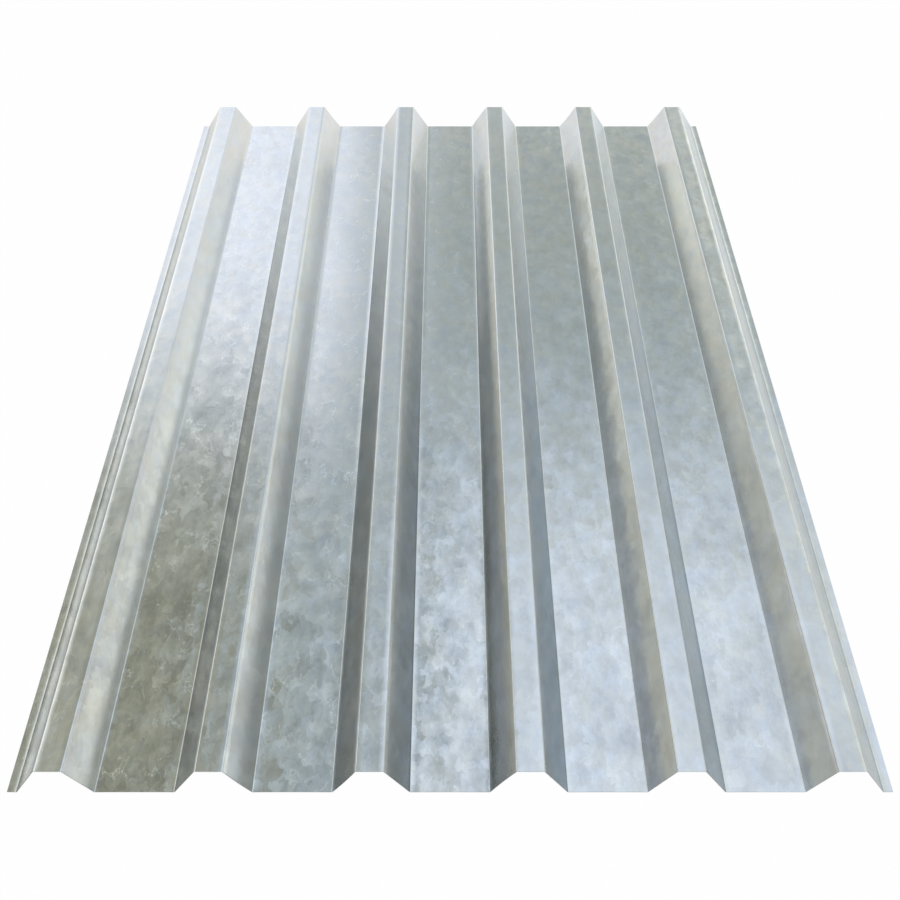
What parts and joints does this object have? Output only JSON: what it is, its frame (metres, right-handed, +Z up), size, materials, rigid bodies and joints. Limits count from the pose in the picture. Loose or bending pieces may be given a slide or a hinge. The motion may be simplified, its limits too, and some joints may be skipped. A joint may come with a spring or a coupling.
{
  "type": "trapezoidal corrugated metal sheet",
  "caption": "Thin galvanised steel sheet roll-formed into straight trapezoidal ribs with flat pans between them and a plain lip along each side, for covering roofs and walls.",
  "frame": {"origin": "under the middle of the sheet, on the plane that the undersides of its pans and lips lie on", "axes": "+X across the ribs, +Y along the ribs, +Z up out of the crowns"},
  "size_m": [1.027, 1.55, 0.0448],
  "materials": {
    "galvanised_steel": "hot-dip galvanised, softly mottled spangle, satin"
  },
  "bodies": {
    "root": {"profiled_sheet": "galvanised_steel"}
  },
  "joints": []
}
